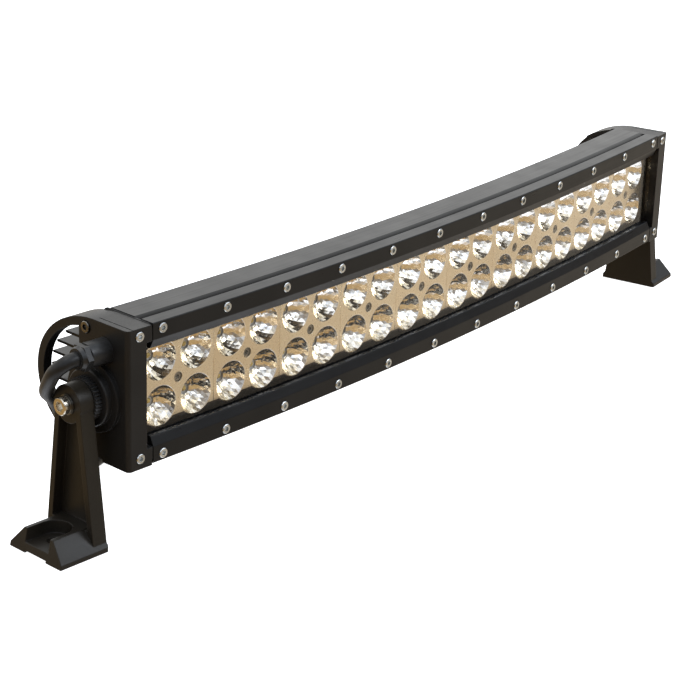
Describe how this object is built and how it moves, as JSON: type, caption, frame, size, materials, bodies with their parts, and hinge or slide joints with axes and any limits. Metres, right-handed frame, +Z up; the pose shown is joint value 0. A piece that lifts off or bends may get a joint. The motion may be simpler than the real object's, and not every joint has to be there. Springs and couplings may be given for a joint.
{
  "type": "led light bar",
  "caption": "Curved dual-row LED light bar for vehicles, with a finned aluminium housing, round end guards, tilting foot brackets and a short power cable.",
  "frame": {"origin": "on the mounting surface under the feet, at the middle of the object's length and depth, without the cable", "axes": "+X along the bar, the lens faces -Y, +Z up"},
  "size_m": [0.647, 0.1093, 0.123],
  "materials": {
    "housing": "satin black powder coat over extruded aluminium",
    "bezel": "satin black powder coat",
    "end_casting": "satin black powder coat over die-cast aluminium",
    "bracket_casting": "satin black powder coat over die-cast aluminium",
    "lens": "clear moulded polycarbonate",
    "seal_rubber": "matte",
    "reflector_chrome": "vacuum-plated mirror finish",
    "led_phosphor": "yellow phosphor under clear silicone",
    "board_white": "white solder mask",
    "dark_screw": "dark plated steel",
    "screw_steel": "bright stainless steel",
    "bolt_steel": "bright stainless steel",
    "ring_steel": "black oxide on steel",
    "gland_nylon": "black nylon",
    "cable_jacket": "black flexible jacket",
    "driver_laminate": "green solder mask",
    "capacitor_can": "drawn can",
    "chip_plastic": "moulded epoxy",
    "connector_plastic": "moulded nylon",
    "connector_seal": "silicone",
    "pin_brass": "tin-plated brass"
  },
  "bodies": {
    "light": {"bezel_bottom": "bezel", "bezel_screws_bottom": "screw_steel", "bezel_screws_top": "screw_steel", "bezel_top": "bezel", "cable_tail": "cable_jacket", "connector_body": "connector_plastic", "connector_lock": "connector_plastic", "connector_pins": "pin_brass", "connector_seal": "connector_seal", "driver_board": "driver_laminate", "driver_capacitors": "capacitor_can", "driver_chips": "chip_plastic", "driver_inductors": "chip_plastic", "end_gasket_left": "seal_rubber", "end_gasket_right": "seal_rubber", "end_plate_front_screws_left": "screw_steel", "end_plate_front_screws_right": "screw_steel", "end_plate_left": "end_casting", "end_plate_right": "end_casting", "end_plate_side_screws_left": "screw_steel", "end_plate_side_screws_right": "screw_steel", "flat_washer_left": "bolt_steel", "flat_washer_right": "bolt_steel", "gland_body": "gland_nylon", "gland_nut": "gland_nylon", "gland_seal": "seal_rubber", "housing": "housing", "led_board_1": "board_white", "led_board_2": "board_white", "led_board_3": "board_white", "led_board_4": "board_white", "led_board_5": "board_white", "led_emitters": "led_phosphor", "lens": "lens", "lens_seal": "seal_rubber", "module_screws": "dark_screw", "pivot_bolt_left": "bolt_steel", "pivot_bolt_right": "bolt_steel", "power_cable": "cable_jacket", "reflector_01": "reflector_chrome", "reflector_02": "reflector_chrome", "reflector_03": "reflector_chrome", "reflector_04": "reflector_chrome", "reflector_05": "reflector_chrome", "reflector_06": "reflector_chrome", "reflector_07": "reflector_chrome", "reflector_08": "reflector_chrome", "reflector_09": "reflector_chrome", "reflector_10": "reflector_chrome", "serrated_ring_left": "ring_steel", "serrated_ring_right": "ring_steel", "spring_washer_left": "bolt_steel", "spring_washer_right": "bolt_steel", "vent_plug": "gland_nylon"},
    "bracket_left": {"bracket_left": "bracket_casting"},
    "bracket_right": {"bracket_right": "bracket_casting"}
  },
  "joints": [
    {"name": "bracket_left_tilt", "type": "hinge", "parent": "light", "child": "bracket_left", "pos_m": [-0.29368, -0.00274, 0.0805], "axis": [0.9959, -0.0909, 0], "range_deg": [-90, 10]},
    {"name": "bracket_right_tilt", "type": "hinge", "parent": "light", "child": "bracket_right", "pos_m": [0.29368, -0.00274, 0.0805], "axis": [0.9959, 0.0909, 0], "range_deg": [-90, 10]}
  ]
}
